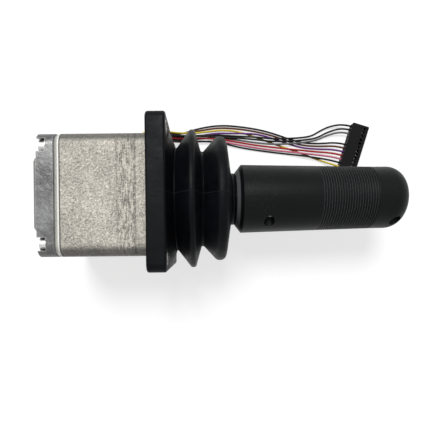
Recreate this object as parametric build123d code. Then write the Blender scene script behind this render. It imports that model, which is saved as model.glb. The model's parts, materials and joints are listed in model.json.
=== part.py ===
from build123d import *
import math
import os

# Industrial joystick, lying on its side as it does on a bench. Millimetres.
# Origin: on the lever's axis, in the plane where the flange seats on a panel.
# +X runs along the lever to the grip, +Z is up. The flange's lower edge rests on the floor.

# Cast housing and its mounting flange
body_side = 61.0
body_corner = 6.5
body_wall = 4.0
front_wall = 4.0
flange_reach = 5.5
plate_corner = 5.0
plate_thick = 5.0
front_opening_corner = 4.0

# Panel screws through the flange
bolt_edge = 4.75
bolt_hole_radius = 2.65
sleeve_radius = 3.3

# Rubber boot: square skirt wrapped round the flange, and bellows
skirt_wrap = 2.0
skirt_corner = 4.5
skirt_edge = 1.2
skirt_thick = 9.5
seat_lip = 2.0
skirt_fit = 0.4
boot_wall = 1.8
boot_rise = 2.5
boot_base_step = 9.5
boot_foot_step = 2.0
upper_crest_step = 4.0
valley_radius = 25.3
neck_radius = 14.3
boot_round = 1.2
boot_foot_land = 1.2
crest_start = 8.4
crest_width = 2.4
valley_run = 3.6
upper_crest_run = 7.2
upper_crest_width = 4.6
neck_land = 2.4
neck_taper = 0.2
neck_gap = 0.3

# Rear cover, its gasket and its screws
gasket_thick = 0.6
gasket_width = 3.6
cover_base_thick = 5.4
cover_deck_height = 4.2
cover_cross_height = 5.9
cover_cross_width = 35.0
cover_chamfer = 1.5
cover_bead = 1.5
cover_recess_side = 33.0
cover_recess_depth = 8.0
cover_screw_radius = 2.5
cover_head_radius = 4.25
cover_head_height = 4.0
cover_pocket_radius = 5.0
cover_notch_width = 6.4
post_radius = 5.5
post_length = 11.0

# Pivots
pivot_depth = 18.0
pin_radius = 3.0
running_gap = 0.05
bush_wall = 1.2
bush_flange = 1.0
bush_flange_radius = 5.6
bush_length = 4.4
bush_boss_radius = 7.0
bush_boss_height = 3.0

# Centring springs: a close-wound coil with two legs that straddle a fixed and a moving post
spring_wire = 1.3
spring_turns = 3
spring_inner_radius = 4.3
spring_play = 0.55
spring_leg = 15.5
post_pin_radius = 1.4
moving_post_reach = 9.3
fixed_post_reach = 12.9
post_gap = 0.2

# Gimbal
hub_half_width = 7.0
hub_half_height = 10.0
hub_half_length = 7.0
hub_foot_radius = 7.0
hub_foot_length = 6.0
hub_collar_radius = 8.0
hub_collar_length = 6.0
yoke_half_length = 6.0
yoke_wall = 4.0
yoke_corner = 4.0
tab_width = 6.0
tab_margin = 1.3
thrust_radius = 6.0
thrust_gap = 0.3

# Gate that limits the lever
gate_margin = 1.7
gate_thick = 2.0
gate_side_lip = 0.9
gate_end_lip = 1.7
gate_screw_edge = 4.1
gate_screw_inset = 3.4
gate_screw_radius = 1.5

# Lever
shaft_radius = 5.0
shaft_end = 96.0
roll_pin_radius = 1.5
neck_bush_radius = 12.0
neck_bush_length = 8.0
nut_across_flats = 17.0
nut_thick = 5.5
insert_radius = 9.0
insert_length = 26.0
insert_groove_start = 10.0
insert_groove_length = 6.0
insert_groove_depth = 1.2

# Magnet under the lever and the circuit board that reads it
magnet_radius = 4.0
magnet_thick = 3.0
magnet_cup_radius = 6.0
magnet_cup_height = 5.0
magnet_gap = 3.5
stem_fit = 0.05
board_thick = 1.6
board_gap = 0.5
board_rear_gap = 2.1
board_post_radius = 3.2
board_post_length = 9.0
board_post_step = 6.5
board_screw_radius = 1.25
board_screw_bite = 5.0
chip_side = 5.0
chip_thick = 1.1
header_length = 24.0
header_width = 5.0
header_height = 5.6

# Grip: two half shells and a domed end cap
grip_base_x = 45.0
grip_cone_length = 3.2
grip_cone_radius = 14.9
grip_base_radius = 19.0
grip_end_x = 122.5
grip_end_radius = 17.2
grip_bore_gap = 0.2
grip_wall = 3.2
grip_hollow_x = 98.5
grip_end_wall = 3.0
nut_pocket_gap = 0.7
rib_start = 89.7
rib_pitch = 1.34
rib_count = 22
rib_depth = 0.42
cap_length = 16.9
cap_dome_radius = 27.0
cap_round = 9.0
cap_wall = 3.0
cap_hollow_taper = 6.4
grip_screw_x = 62.0
grip_screw_height = 12.6
grip_screw_radius = 1.5
grip_screw_length = 16.0
grip_head_radius = 2.5
grip_head_height = 2.0
grip_recess_radius = 2.8
grip_recess_floor = 9.0
cap_screw_reach = 7.6
cap_screw_height = 9.6
cap_recess_floor = 8.4
cap_screw_length = 11.0
tongue_thick = 4.0
tongue_length = 11.0
tongue_width = 25.0
tongue_corner = 6.0

# Leads, their grommet and their connector
wire_radius = 0.6
grommet_x = -12.5
grommet_z = -18.0
grommet_neck_radius = 4.6
grommet_flange_radius = 5.8
grommet_flange = 2.2
wire_pitch = 1.7
lane_gap = 5.0
lane_bend = 5.6
lane_spread = 0.7
lane_drop = 0.2
corner_drop = 2.2
lane_end = (3.5, 0.2, 9.5)
ways = 12
way_pitch = 2.54
connector_end_wall = 0.7
connector_width = 11.0
connector_height = 5.0
connector_top = (132.5, 52.0)
connector_lean = 18.0
cavity_side = 1.7
window_side = 1.5
terminal_side = 1.3
terminal_length = 7.5
wire_grip = 1.0
wire_straight = 5.0

# Places that follow from the sizes above
plate_side = body_side + 2 * flange_reach
bolt_spacing = plate_side - 2 * bolt_edge
skirt_side = plate_side + 2 * skirt_wrap
floor_z = -skirt_side / 2
plate_back = seat_lip
plate_front = seat_lip + plate_thick
cavity_front = plate_front - front_wall
cavity_half = body_side / 2 - body_wall
pivot_x = -pivot_depth
hub_foot = pivot_x - hub_half_length - hub_foot_length
hub_top = pivot_x + hub_half_length + hub_collar_length
board_front = hub_foot - magnet_cup_height - magnet_gap
board_back = board_front - board_thick
board_side = 2 * (cavity_half - board_gap)
board_post_height = cavity_half - board_post_radius + 0.2
body_depth = board_rear_gap - board_back
cover_seat = -(body_depth + gasket_thick)
cover_floor = cover_seat - cover_base_thick
cover_deck = cover_floor - cover_deck_height
cover_back = cover_floor - cover_cross_height
cover_screw_offset = body_side / 2 - body_corner
board_post_across = cover_screw_offset - post_radius - board_post_step
coil_length = spring_wire * spring_turns
bush_radius = pin_radius + running_gap
bush_outer_radius = bush_radius + bush_wall
boss_face = cavity_half - bush_boss_height
bush_face = boss_face - bush_flange
bush_end = boss_face + bush_length
yoke_width = bush_face - 2 * spring_play - coil_length
yoke_inner_width = yoke_width - yoke_wall
yoke_inner_height = hub_half_height + 2 * spring_play + coil_length + bush_flange
yoke_height = yoke_inner_height + yoke_wall
leg_offset = post_pin_radius + post_gap + spring_wire / 2
boot_base_x = skirt_thick + boot_rise
crest_radius = skirt_side / 2
upper_crest_radius = crest_radius - upper_crest_step
boot_base_radius = crest_radius - boot_base_step
boot_foot_radius = crest_radius - boot_foot_step
gate_radius = boot_base_radius - boot_wall - gate_margin
gate_screw_circle = gate_radius - gate_screw_edge
front_opening = 2 * (gate_screw_circle - gate_screw_inset)
gate_half_width = front_opening / 2 - gate_side_lip
gate_half_height = front_opening / 2 - gate_end_lip
neck_bush_top = grip_base_x
nut_base = grip_base_x + grip_cone_length + 2.4
insert_base = shaft_end - insert_length
cap_tip = grip_end_x + cap_length
cap_screw_x = grip_end_x + cap_screw_reach
lane_start = skirt_side / 2 + lane_gap


def axis_plane(point, direction):
    """A plane through a point, facing along a direction."""
    return Plane(origin=point, z_dir=direction)


def rod(start, end, radius):
    """A cylinder from one centre point to another."""
    run = Vector(*end) - Vector(*start)
    return extrude(axis_plane(start, run) * Circle(radius), amount=run.length)


def block(low, high):
    """A box between two opposite corners."""
    size = [b - a for a, b in zip(low, high)]
    middle = [(a + b) / 2 for a, b in zip(low, high)]
    return Pos(*middle) * Box(*size)


def prism(x_from, x_to, side, corner):
    """A square block with round corners, standing along X."""
    outline = RectangleRounded(side, side, corner)
    return extrude(Plane.YZ.offset(x_from) * outline, amount=x_to - x_from)


def turned(points):
    """A solid turned about the lever's axis from an outline of (x, radius) points."""
    outline = make_face(Polyline(*points, close=True))
    return revolve(outline, Axis.X)


def corners(offset):
    """The four corners of a square, as (y, z)."""
    return [(y * offset, z * offset) for y in (-1, 1) for z in (-1, 1)]


def hex_socket(point, direction, across, depth):
    """A hexagon cut for a key, going in from a screw head's face."""
    outline = RegularPolygon(across / 2, 6, major_radius=False)
    return extrude(axis_plane(point, direction) * outline, amount=depth)


def cap_screw(seat, direction, radius, length, head_radius, head_height, key):
    """A socket cap screw. Its head stands on the seat and its shank goes along the direction."""
    way = Vector(*direction).normalized()
    seat = Vector(*seat)
    top = seat - way * head_height
    screw = rod(tuple(seat), tuple(seat + way * length), radius)
    screw += rod(tuple(top), tuple(seat), head_radius)
    return screw - hex_socket(tuple(top), tuple(way), key, head_height / 2)


def make_housing():
    """Die-cast case, open at the back, with the mounting flange at its front."""
    case = prism(-body_depth, plate_front, body_side, body_corner)
    case += prism(plate_back, plate_front, plate_side, plate_corner)
    case -= prism(-body_depth, cavity_front, 2 * cavity_half, body_corner - body_wall / 2)
    case -= prism(cavity_front, plate_front, front_opening, front_opening_corner)
    for y, z in corners(cover_screw_offset):
        case += rod((-body_depth, y, z), (post_length - body_depth, y, z), post_radius)
    for side in (-1, 1):
        case += rod((pivot_x, side * boss_face, 0), (pivot_x, side * cavity_half, 0), bush_boss_radius)
    for y in (-board_post_across, board_post_across):
        for z in (-board_post_height, board_post_height):
            case += rod((board_front, y, z), (board_front + board_post_length, y, z), board_post_radius)
    case &= prism(-body_depth, plate_front, plate_side, plate_corner)
    anchor = pivot_x - fixed_post_reach
    case += rod((anchor, yoke_width + spring_play, 0), (anchor, cavity_half + 0.5, 0), post_pin_radius)
    for side in (-1, 1):
        case -= rod((pivot_x, side * boss_face, 0), (pivot_x, side * bush_end, 0), bush_outer_radius)
    for y, z in corners(cover_screw_offset):
        case -= rod((-body_depth, y, z), (post_length - body_depth - 1, y, z), cover_screw_radius)
    for y in (-board_post_across, board_post_across):
        for z in (-board_post_height, board_post_height):
            case -= rod((board_front, y, z), (board_front + board_post_length - 2, y, z), board_screw_radius)
    for y, z in corners(bolt_spacing / 2):
        case -= rod((plate_back, y, z), (plate_front, y, z), sleeve_radius)
    for y, z in gate_screw_places():
        case -= rod((cavity_front, y, z), (plate_front, y, z), gate_screw_radius)
    case -= rod((grommet_x, cavity_half, grommet_z), (grommet_x, body_side, grommet_z), grommet_neck_radius)
    return case


def gate_screw_places():
    """Where the gate's four screws stand, as (y, z)."""
    turns = [math.radians(90 * n) for n in range(4)]
    return [(gate_screw_circle * math.cos(t), gate_screw_circle * math.sin(t)) for t in turns]


def make_gasket():
    """Thin frame between the housing and the rear cover."""
    outer = body_side - 2 * cover_bead
    sheet = prism(cover_seat, -body_depth, outer, body_corner - cover_bead)
    sheet -= prism(cover_seat, -body_depth, outer - 2 * gasket_width, body_corner - cover_bead)
    for y, z in corners(cover_screw_offset):
        sheet += rod((cover_seat, y, z), (-body_depth, y, z), cover_screw_radius + 2)
        sheet -= rod((cover_seat, y, z), (-body_depth, y, z), cover_screw_radius)
    return sheet


def make_rear_cover():
    """Cast lid with a raised cross and four corner pockets for its screws."""
    lid = prism(cover_deck, cover_seat, body_side, body_corner)
    cross = Rectangle(body_side, cover_cross_width) + Rectangle(cover_cross_width, body_side)
    raised = extrude(Plane.YZ.offset(cover_back) * cross, amount=cover_cross_height)
    back = raised.faces().sort_by(Axis.X)[0]
    lid += chamfer(back.edges(), cover_chamfer)
    front = lid.faces().sort_by(Axis.X)[-1]
    lid = chamfer(front.edges(), cover_bead)
    for y, z in corners(cover_screw_offset):
        lid -= rod((cover_back, y, z), (cover_floor, y, z), cover_pocket_radius)
        notch = Rectangle(cover_notch_width, body_side, align=(Align.CENTER, Align.MIN))
        cut = Plane.YZ.offset(cover_back) * Pos(y, z) * Rot(0, 0, 0 if z > 0 else 180) * notch
        lid -= extrude(cut, amount=cover_floor - cover_back)
        lid -= rod((cover_floor, y, z), (cover_seat, y, z), cover_screw_radius)
    lid -= prism(cover_seat - cover_recess_depth, cover_seat, cover_recess_side, body_corner)
    return lid


def make_cover_screws():
    """Four socket cap screws that hold the rear cover."""
    return [
        cap_screw(
            (cover_floor, y, z),
            (1, 0, 0),
            cover_screw_radius,
            cover_base_thick + gasket_thick + post_length - 2,
            cover_head_radius,
            cover_head_height,
            4.0,
        )
        for y, z in corners(cover_screw_offset)
    ]


def make_boot_flange():
    """Rubber skirt: a square channel that wraps the housing's flange."""
    skirt = prism(0, skirt_thick, skirt_side, skirt_corner)
    edges = [e for e in skirt.edges() if e.center().X < 0.01 or e.center().X > skirt_thick - 0.01]
    skirt = fillet(edges, skirt_edge)
    foot = [
        (plate_front, 0),
        (plate_front, boot_foot_radius),
        (skirt_thick, boot_foot_radius),
        (boot_base_x, boot_base_radius + boot_foot_land),
        (boot_base_x, 0),
    ]
    skirt += turned(foot)
    skirt -= prism(plate_back, plate_front, plate_side, plate_corner)
    skirt -= prism(0, plate_back, body_side + 2 * skirt_fit, body_corner + skirt_fit)
    skirt -= rod((plate_front, 0, 0), (boot_base_x, 0, 0), boot_base_radius - boot_wall)
    for y, z in corners(bolt_spacing / 2):
        skirt -= rod((-1, y, z), (skirt_thick + 3, y, z), sleeve_radius)
    return skirt


def make_flange_sleeves():
    """Steel sleeves that carry the panel screws' load past the rubber."""
    sleeves = []
    for y, z in corners(bolt_spacing / 2):
        tube = rod((0, y, z), (skirt_thick, y, z), sleeve_radius)
        sleeves.append(tube - rod((0, y, z), (skirt_thick, y, z), bolt_hole_radius))
    return sleeves


def make_bellows():
    """Round rubber bellows with two crests, from the skirt to the lever's neck."""
    first = boot_base_x + crest_start
    valley = first + crest_width + valley_run
    second = valley + upper_crest_run
    neck = grip_base_x - neck_gap
    outer = [
        (boot_base_x, boot_base_radius),
        (boot_base_x + boot_foot_land, boot_base_radius + 0.1),
        (first, crest_radius),
        (first + crest_width, crest_radius),
        (valley, valley_radius),
        (second, upper_crest_radius),
        (second + upper_crest_width, upper_crest_radius),
        (neck - neck_land, neck_radius + neck_taper),
        (neck, neck_radius),
    ]
    rim = FilletPolyline(*outer, radius=boot_round)
    ribbon = Wire(rim.edges()).offset_2d(boot_wall, Kind.ARC, Side.RIGHT, closed=True)
    return revolve(make_face(ribbon), Axis.X)


def make_gate():
    """Plate whose opening stops the lever a little past its working range."""
    plate = rod((plate_front, 0, 0), (plate_front + gate_thick, 0, 0), gate_radius)
    window = RectangleRounded(2 * gate_half_width, 2 * gate_half_height, front_opening_corner)
    plate -= extrude(Plane.YZ.offset(plate_front) * window, amount=gate_thick)
    for y, z in gate_screw_places():
        plate -= rod((plate_front, y, z), (plate_front + gate_thick, y, z), gate_screw_radius)
    return plate


def make_gate_screws():
    """Four screws that hold the gate on the housing."""
    seat = plate_front + gate_thick
    length = gate_thick + front_wall
    return [
        cap_screw((seat, y, z), (-1, 0, 0), gate_screw_radius, length, 2.75, 1.6, 2.0)
        for y, z in gate_screw_places()
    ]


def bush(face, way):
    """A flanged bush. Its flange's face is at the point, and it goes in along the way."""
    face = Vector(*face)
    way = Vector(*way)
    seat = face + way * bush_flange
    end = seat + way * bush_length
    ring = rod(tuple(face), tuple(seat), bush_flange_radius)
    ring += rod(tuple(seat), tuple(end), bush_outer_radius)
    return ring - rod(tuple(face), tuple(end), bush_radius)


def make_pivot_bushes():
    """Two bushes in the housing's side walls, for the yoke."""
    return [bush((pivot_x, side * bush_face, 0), (0, side, 0)) for side in (-1, 1)]


def make_hub_bushes():
    """Two bushes in the yoke's upper and lower walls, for the hub."""
    start = yoke_inner_height - bush_flange
    bushes = []
    for side in (-1, 1):
        ring = bush((pivot_x, 0, side * start), (0, 0, side))
        limit = side * yoke_height
        beyond = rod((pivot_x, 0, limit), (pivot_x, 0, limit + side * bush_length), bush_flange_radius)
        bushes.append(ring - beyond)
    return bushes


def make_yoke():
    """Outer ring of the gimbal, with a tab and a post for each centring spring."""
    size = 2 * yoke_half_length
    ring = Rectangle(2 * yoke_width, 2 * yoke_height)
    ring = fillet(ring.vertices(), yoke_corner)
    ring -= Rectangle(2 * yoke_inner_width, 2 * yoke_inner_height)
    yoke = extrude(Plane.YZ.offset(pivot_x - yoke_half_length) * ring, amount=size)
    side_tab = moving_post_reach + post_pin_radius + tab_margin
    foot_tab = fixed_post_reach + post_pin_radius
    root = pivot_x - yoke_half_length + 1
    half = tab_width / 2
    yoke += block((pivot_x - side_tab, yoke_inner_width, -half), (root, yoke_width, half))
    yoke += block((pivot_x - foot_tab, -half, yoke_inner_height), (root, half, yoke_height))
    moving = pivot_x - moving_post_reach
    coil_end = yoke_width + spring_play + coil_length
    yoke += rod((moving, yoke_width - 1, 0), (moving, coil_end, 0), post_pin_radius)
    fixed = pivot_x - fixed_post_reach
    coil_start = hub_half_height + spring_play
    yoke += rod((fixed, 0, yoke_inner_height + 1), (fixed, 0, coil_start), post_pin_radius)
    thrust = bush_face - thrust_gap
    yoke += rod((pivot_x, -yoke_width + 1, 0), (pivot_x, -thrust, 0), thrust_radius)
    for side in (-1, 1):
        yoke -= rod((pivot_x, side * yoke_inner_width, 0), (pivot_x, side * bush_end, 0), pin_radius)
        yoke -= rod((pivot_x, 0, side * yoke_inner_height), (pivot_x, 0, side * yoke_height), bush_outer_radius)
    return yoke


def make_yoke_pins():
    """Two pins pressed in the yoke, turning in the housing's bushes."""
    return [
        rod((pivot_x, side * yoke_inner_width, 0), (pivot_x, side * (bush_end - 0.3), 0), pin_radius)
        for side in (-1, 1)
    ]


def make_hub():
    """Block at the centre of the gimbal that carries the lever's shaft."""
    low = (pivot_x - hub_half_length, -hub_half_width, -hub_half_height)
    high = (pivot_x + hub_half_length, hub_half_width, hub_half_height)
    hub = block(low, high)
    hub = chamfer(hub.edges().filter_by(Axis.X), 1.5)
    hub += rod((hub_foot, 0, 0), (pivot_x, 0, 0), hub_foot_radius)
    hub += rod((pivot_x, 0, 0), (hub_top, 0, 0), hub_collar_radius)
    thrust = yoke_inner_height - bush_flange - thrust_gap
    hub += rod((pivot_x, 0, -hub_half_height + 1), (pivot_x, 0, -thrust), thrust_radius)
    moving = pivot_x - moving_post_reach
    coil_end = hub_half_height + spring_play + coil_length
    hub += rod((moving, 0, shaft_radius + 0.6), (moving, 0, coil_end), post_pin_radius)
    hub -= rod((hub_foot, 0, 0), (hub_top, 0, 0), shaft_radius)
    for side in (-1, 1):
        hub -= rod((pivot_x, 0, 0), (pivot_x, 0, side * yoke_inner_height), pin_radius)
    cross = roll_pin_place()
    hub -= rod((cross, -hub_collar_radius, 0), (cross, hub_collar_radius, 0), roll_pin_radius)
    return hub


def make_hub_pins():
    """Two pins pressed in the hub, turning in the yoke's bushes."""
    start = shaft_radius + 0.4
    return [
        rod((pivot_x, 0, side * start), (pivot_x, 0, side * (yoke_height - 0.3)), pin_radius)
        for side in (-1, 1)
    ]


def roll_pin_place():
    """Where the roll pin crosses the hub's collar and the shaft."""
    return hub_top - hub_collar_length / 2


def make_roll_pin():
    """Pin that locks the shaft in the hub's collar."""
    cross = roll_pin_place()
    reach = hub_collar_radius - 0.4
    return rod((cross, -reach, 0), (cross, reach, 0), roll_pin_radius)


def make_shaft():
    """Steel lever rod, from the hub to the grip's insert."""
    foot = pivot_x - hub_half_length
    shaft = rod((foot, 0, 0), (shaft_end, 0, 0), shaft_radius)
    shaft = chamfer(shaft.edges(), 0.8)
    cross = roll_pin_place()
    return shaft - rod((cross, -shaft_radius, 0), (cross, shaft_radius, 0), roll_pin_radius)


def make_spring(origin, axis):
    """Centring spring: a coil of touching turns, with two legs along -X that straddle the posts."""
    inner = spring_inner_radius
    outer = inner + spring_wire
    notch = spring_wire / 4
    points = [(inner, 0)]
    for turn in range(spring_turns):
        start = turn * spring_wire
        points += [(outer - notch, start), (outer, start + spring_wire / 2)]
    points += [(outer - notch, coil_length), (inner, coil_length)]
    coil = revolve(make_face(Plane.XZ * Polyline(*points, close=True)), Axis.Z)
    spring = Plane(origin=origin, x_dir=(1, 0, 0), z_dir=axis).location * coil
    along = Vector(*axis)
    across = Vector(1, 0, 0).cross(along)
    middle = inner + spring_wire / 2
    start = -math.sqrt(middle**2 - leg_offset**2)
    for side, height in ((-1, spring_wire / 2), (1, coil_length - spring_wire / 2)):
        foot = Vector(*origin) + along * height + across * side * leg_offset
        near = foot + Vector(start, 0, 0)
        far = foot + Vector(-spring_leg, 0, 0)
        spring += rod(tuple(near), tuple(far), spring_wire / 2)
    return spring


def make_magnet_holder():
    """Plastic cup plugged in the hub's foot."""
    cup_end = hub_foot - magnet_cup_height
    holder = rod((hub_foot, 0, 0), (cup_end, 0, 0), magnet_cup_radius)
    stem_top = pivot_x - hub_half_length - 0.2
    holder += rod((hub_foot, 0, 0), (stem_top, 0, 0), shaft_radius - stem_fit)
    return holder - rod((cup_end, 0, 0), (cup_end + magnet_thick, 0, 0), magnet_radius)


def make_magnet():
    """Round magnet, level with the cup's rim."""
    face = hub_foot - magnet_cup_height
    return rod((face, 0, 0), (face + magnet_thick, 0, 0), magnet_radius)


def make_board():
    """Circuit board, cut out round the cover's screw posts."""
    board = prism(board_back, board_front, board_side, 2)
    for y, z in corners(cover_screw_offset):
        board -= rod((board_back, y, z), (board_front, y, z), post_radius + 0.5)
    for y in (-board_post_across, board_post_across):
        for z in (-board_post_height, board_post_height):
            board -= rod((board_back, y, z), (board_front, y, z), board_screw_radius)
    return board


def make_board_screws():
    """Four screws that hold the board on the housing's posts."""
    return [
        cap_screw((board_back, y, z), (1, 0, 0), board_screw_radius, board_thick + board_screw_bite, 2.2, 1.4, 1.5)
        for y in (-board_post_across, board_post_across)
        for z in (-board_post_height, board_post_height)
    ]


def make_sensor():
    """Magnetic field sensor on the board, under the magnet."""
    half = chip_side / 2
    return block((board_front, -half, -half), (board_front + chip_thick, half, half))


def make_board_header():
    """Pin header on the back of the board, where the leads are soldered."""
    low = (board_back - header_height, cover_recess_side / 2 - header_width - 1, -header_length / 2)
    high = (board_back, cover_recess_side / 2 - 1, header_length / 2)
    header = block(low, high)
    slots = block((low[0], low[1] + 1.2, low[2] + 1.2), (low[0] + 4, high[1] - 1.2, high[2] - 1.2))
    return header - slots


def make_neck_bush():
    """Plastic bush on the shaft that the boot's neck grips."""
    start = neck_bush_top - neck_bush_length
    bush_ring = rod((start, 0, 0), (neck_bush_top, 0, 0), neck_bush_radius)
    bush_ring = chamfer(bush_ring.edges().sort_by(Axis.X)[0], 1.5)
    return bush_ring - rod((start, 0, 0), (neck_bush_top, 0, 0), shaft_radius)


def make_lock_nut():
    """Hexagon nut that locks the grip on the shaft."""
    outline = RegularPolygon(nut_across_flats / 2, 6, major_radius=False) - Circle(shaft_radius)
    return extrude(Plane.YZ.offset(nut_base) * outline, amount=nut_thick)


def make_grip_insert():
    """Threaded brass insert that the two halves of the grip clamp."""
    insert = rod((insert_base, 0, 0), (shaft_end, 0, 0), insert_radius)
    insert -= rod((insert_base, 0, 0), (shaft_end, 0, 0), shaft_radius)
    start = (insert_base + insert_groove_start, 0, 0)
    end = (insert_base + insert_groove_start + insert_groove_length, 0, 0)
    groove = rod(start, end, insert_radius) - rod(start, end, insert_radius - insert_groove_depth)
    return insert - groove


def grip_radius(x):
    """The grip's outer radius, which tapers evenly from its base to its end."""
    base = grip_base_x + grip_cone_length
    share = (x - base) / (grip_end_x - base)
    return grip_base_radius + (grip_end_radius - grip_base_radius) * share


def grip_body():
    """Both halves of the grip as one turned body, with its ribs, bores and hollow."""
    shoulder = grip_base_x + grip_cone_length
    points = [(grip_base_x, 0), (grip_base_x, grip_cone_radius), (shoulder, grip_base_radius)]
    for rib in range(rib_count):
        groove = rib_start + rib * rib_pitch
        points.append((groove, grip_radius(groove)))
        points.append((groove + rib_pitch / 2, grip_radius(groove) - rib_depth))
    last = rib_start + rib_count * rib_pitch
    points += [(last, grip_radius(last)), (grip_end_x, grip_end_radius), (grip_end_x, 0)]
    body = turned(points)
    body -= rod((grip_base_x, 0, 0), (insert_base, 0, 0), shaft_radius + grip_bore_gap)
    nut_room = nut_across_flats / math.sqrt(3) + nut_pocket_gap
    body -= rod((nut_base, 0, 0), (nut_base + nut_thick, 0, 0), nut_room)
    insert = make_grip_insert() + rod((insert_base, 0, 0), (shaft_end, 0, 0), shaft_radius)
    body -= insert
    hollow = grip_end_radius - grip_wall
    body -= rod((grip_hollow_x, 0, 0), (grip_end_x - grip_end_wall, 0, 0), hollow)
    body -= rod((shaft_end, 0, 0), (grip_hollow_x, 0, 0), insert_radius)
    return body


def grip_side(side):
    """One half of the grip: side 1 is the left half at +Y, side -1 the right half."""
    reach = grip_base_radius + 1
    low = (grip_base_x - 1, min(0, side * reach), -reach)
    high = (grip_end_x + 1, max(0, side * reach), reach)
    return grip_body() & block(low, high)


def make_grip_left():
    """Left half, with the screws' tapped holes and the tongue that holds the cap."""
    half = grip_side(1)
    wide = tongue_width / 2
    tongue = block(
        (grip_end_x - grip_end_wall, 0, -wide),
        (grip_end_x + tongue_length, tongue_thick, wide),
    )
    half += fillet(tongue.edges().filter_by(Axis.Y).sort_by(Axis.X)[-2:], tongue_corner)
    for side in (-1, 1):
        hole = side * grip_screw_height
        end = grip_screw_length - grip_recess_floor
        half -= rod((grip_screw_x, 0, hole), (grip_screw_x, end + 1, hole), grip_screw_radius)
        hole = side * cap_screw_height
        half -= rod((cap_screw_x, 0, hole), (cap_screw_x, tongue_thick, hole), grip_screw_radius)
    return half


def make_grip_right():
    """Right half, with recesses for the two screws' heads."""
    half = grip_side(-1)
    for side in (-1, 1):
        hole = side * grip_screw_height
        half -= rod((grip_screw_x, 0, hole), (grip_screw_x, -grip_recess_floor, hole), grip_screw_radius)
        half -= rod(
            (grip_screw_x, -grip_recess_floor, hole),
            (grip_screw_x, -grip_base_radius, hole),
            grip_recess_radius,
        )
    return half


def make_grip_screws():
    """Two screws that clamp the halves together."""
    return [
        cap_screw(
            (grip_screw_x, -grip_recess_floor, side * grip_screw_height),
            (0, 1, 0),
            grip_screw_radius,
            grip_screw_length,
            grip_head_radius,
            grip_head_height,
            2.5,
        )
        for side in (-1, 1)
    ]


def cap_outline(end_x, radius, dome, corner):
    """Half outline of a domed cap, from its open end to its tip."""
    centre = end_x - dome
    shoulder = centre + math.sqrt(dome**2 - radius**2)
    turn = math.atan2(radius, shoulder - centre) / 2
    half_way = (centre + dome * math.cos(turn), dome * math.sin(turn))
    rim = Polyline((end_x, 0), (grip_end_x, 0), (grip_end_x, radius), (shoulder, radius))
    tip = ThreePointArc((shoulder, radius), half_way, (end_x, 0))
    face = make_face(rim + tip)
    edge = face.vertices().sort_by_distance((shoulder, radius, 0))[0]
    return fillet(edge, corner)


def make_grip_cap():
    """Domed end cap, hollow, screwed to the tongue."""
    cap = revolve(cap_outline(cap_tip, grip_end_radius, cap_dome_radius, cap_round), Axis.X)
    wide = grip_end_radius - cap_wall
    end = cap_tip - cap_wall
    narrow = wide - cap_hollow_taper * 0.6
    hollow = turned([(grip_end_x, 0), (grip_end_x, wide), (end - cap_hollow_taper, wide), (end, narrow), (end, 0)])
    boss = Solid()
    for side in (-1, 1):
        z = side * cap_screw_height
        boss = boss + rod((cap_screw_x, -0.3, z), (cap_screw_x, -grip_end_radius, z), grip_recess_radius + 1.2)
    cap = (cap - hollow) + (cap & boss)
    for side in (-1, 1):
        z = side * cap_screw_height
        cap -= rod((cap_screw_x, 0, z), (cap_screw_x, -cap_recess_floor, z), grip_screw_radius)
        cap -= rod((cap_screw_x, -cap_recess_floor, z), (cap_screw_x, -grip_end_radius, z), grip_recess_radius)
    return cap


def make_cap_screws():
    """Two screws that hold the cap on the tongue."""
    return [
        cap_screw(
            (cap_screw_x, -cap_recess_floor, side * cap_screw_height),
            (0, 1, 0),
            grip_screw_radius,
            cap_screw_length,
            grip_head_radius,
            grip_head_height,
            2.5,
        )
        for side in (-1, 1)
    ]


def slot_place(column, row):
    """Where a lead leaves the grommet: column 3 is the furthest back, row 0 the lowest."""
    x = grommet_x - (column - 1.5) * wire_pitch
    return x, grommet_z + (row - 1) * wire_pitch


def make_grommet():
    """Rubber grommet in the housing's side wall. The leads leave from its outer face."""
    outside = body_side / 2
    grommet = rod(
        (grommet_x, cavity_half, grommet_z),
        (grommet_x, outside, grommet_z),
        grommet_neck_radius,
    )
    flange = rod(
        (grommet_x, outside, grommet_z),
        (grommet_x, outside + grommet_flange, grommet_z),
        grommet_flange_radius,
    )
    rim = flange.edges().sort_by(Axis.Y)[-1]
    grommet += fillet(rim, grommet_flange / 2)
    return grommet


def connector_plane():
    """Frame of the connector: x runs down its length, y away from the leads, z up from the floor."""
    lean = math.radians(connector_lean)
    along = (-math.sin(lean), -math.cos(lean), 0)
    return Plane(origin=(*connector_top, floor_z), x_dir=along, z_dir=(0, 0, 1))


def way_place(way):
    """How far down the connector a way lies."""
    return connector_end_wall + (way + 0.5) * way_pitch


def make_connector():
    """Flat receptacle with a row of ways, each with a cavity and a window over its terminal."""
    length = ways * way_pitch + 2 * connector_end_wall
    half = connector_width / 2
    middle = connector_height / 2
    shell = block((0, -half, 0), (length, half, connector_height))
    shell = chamfer(shell.edges().filter_by(Axis.Z), 0.5)
    for way in range(ways):
        place = way_place(way)
        side = cavity_side / 2
        shell -= block((place - side, -half, middle - side), (place + side, half - 1, middle + side))
        side = window_side / 2
        low = (place - side, half - 3.6, middle)
        shell -= block(low, (place + side, half - 2.0, connector_height))
    return connector_plane().location * shell


def make_terminals(used):
    """A crimp terminal in each way that has a lead."""
    half = connector_width / 2
    middle = connector_height / 2
    side = terminal_side / 2
    start = -half + wire_grip
    terminals = []
    for way in used:
        place = way_place(way)
        low = (place - side, start, middle - side)
        high = (place + side, start + terminal_length, middle + side)
        terminals.append(connector_plane().location * block(low, high))
    return terminals


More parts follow.
